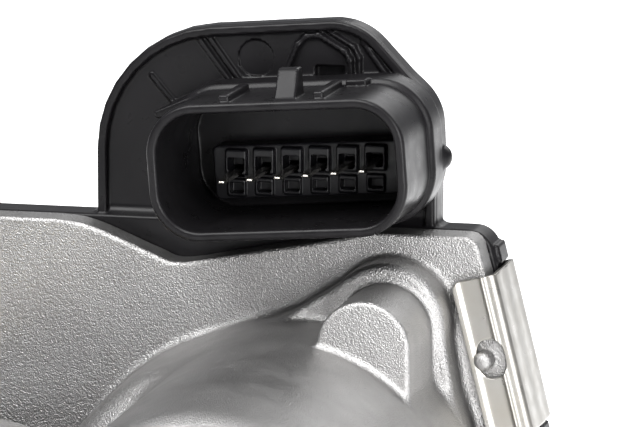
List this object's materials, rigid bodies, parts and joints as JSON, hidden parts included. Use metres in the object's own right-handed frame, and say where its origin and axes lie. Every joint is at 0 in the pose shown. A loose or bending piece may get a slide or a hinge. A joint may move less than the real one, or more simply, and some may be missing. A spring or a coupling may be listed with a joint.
{
  "type": "throttle body",
  "caption": "Motor-driven throttle body: cast-aluminium housing with a round bore and butterfly plate, geared DC motor, and clipped plastic gear cover with a multi-pin plug socket.",
  "frame": {"origin": "bottom centre of the part's bounding box, on the plane of the engine flange's face", "axes": "+Z along the bore from the engine flange to the inlet, +Y from the motor's blind end to the gear cover, parallel to the throttle shaft, +X from the bore to the motor"},
  "size_m": [0.126, 0.1024, 0.1189],
  "materials": {
    "cast_aluminium": "grainy die-cast, satin",
    "black_plastic": "moulded, semi-gloss",
    "block_plastic": "moulded, matte",
    "gear_plastic": "moulded, satin",
    "rubber": "matte",
    "spring_steel": "satin sheet",
    "bearing_steel": "ground",
    "zinc_steel": "zinc plated",
    "dark_steel": "oiled",
    "plate_brass": "rolled and stamped",
    "bronze": "sintered",
    "copper": "drawn",
    "tin": "tin plated",
    "ferrite": "sintered, dull",
    "circuit_board": "coated"
  },
  "bodies": {
    "housing": {"bearing_gear_side": "bearing_steel", "bearing_plug": "zinc_steel", "bearing_plug_side": "bearing_steel", "brush_1": "ferrite", "brush_2": "ferrite", "brush_holder": "block_plastic", "cover_gasket": "rubber", "flange_seal": "rubber", "gear_cover": "black_plastic", "gear_pin": "bearing_steel", "housing": "cast_aluminium", "motor_bush_front": "bronze", "motor_bush_rear": "bronze", "motor_can": "dark_steel", "motor_end_plate": "zinc_steel", "motor_magnet_1": "ferrite", "motor_magnet_2": "ferrite", "motor_screw_1": "zinc_steel", "motor_screw_2": "zinc_steel", "motor_terminal_1": "copper", "motor_terminal_2": "copper", "return_spring": "dark_steel", "sensor_board": "circuit_board", "shaft_seal_gear_side": "rubber", "shaft_seal_plug_side": "rubber", "spring_clip_1": "spring_steel", "spring_clip_2": "spring_steel", "spring_clip_3": "spring_steel", "spring_clip_4": "spring_steel", "spring_clip_5": "spring_steel", "stop_screw": "zinc_steel", "terminal_block": "block_plastic", "terminal_pin_1": "tin", "terminal_pin_2": "tin", "terminal_pin_3": "tin", "terminal_pin_4": "tin", "terminal_pin_5": "tin", "terminal_pin_6": "tin", "wave_spring": "spring_steel"},
    "throttle": {"throttle_shaft": "bearing_steel", "throttle_plate": "plate_brass", "plate_screw_1": "zinc_steel", "plate_screw_2": "zinc_steel", "sector_gear": "gear_plastic", "sensor_magnet": "ferrite"},
    "intermediate": {"intermediate_gear": "gear_plastic"},
    "rotor": {"motor_shaft": "bearing_steel", "armature_core": "dark_steel", "armature_winding": "copper", "commutator": "copper", "motor_pinion": "bronze"}
  },
  "joints": [
    {"name": "throttle", "type": "hinge", "parent": "housing", "child": "throttle", "pos_m": [-0.02716, 0, 0.036], "axis": [0, 1, 0], "range_deg": [-7, 83], "stiffness_Nm_per_rad": 0.08, "deforming": ["return_spring"]},
    {"name": "intermediate", "type": "hinge", "parent": "housing", "child": "intermediate", "pos_m": [0.00191, 0, 0.04732], "axis": [0, 1, 0], "range_deg": [-322, 28]},
    {"name": "rotor", "type": "hinge", "parent": "housing", "child": "rotor", "pos_m": [0.02884, 0, 0.055], "axis": [0, 1, 0], "range_deg": [-132, 1556]}
  ],
  "couplings": [
    {"joint": "intermediate", "follows": "throttle", "ratio": -3.875},
    {"joint": "rotor", "follows": "throttle", "ratio": 18.729}
  ]
}
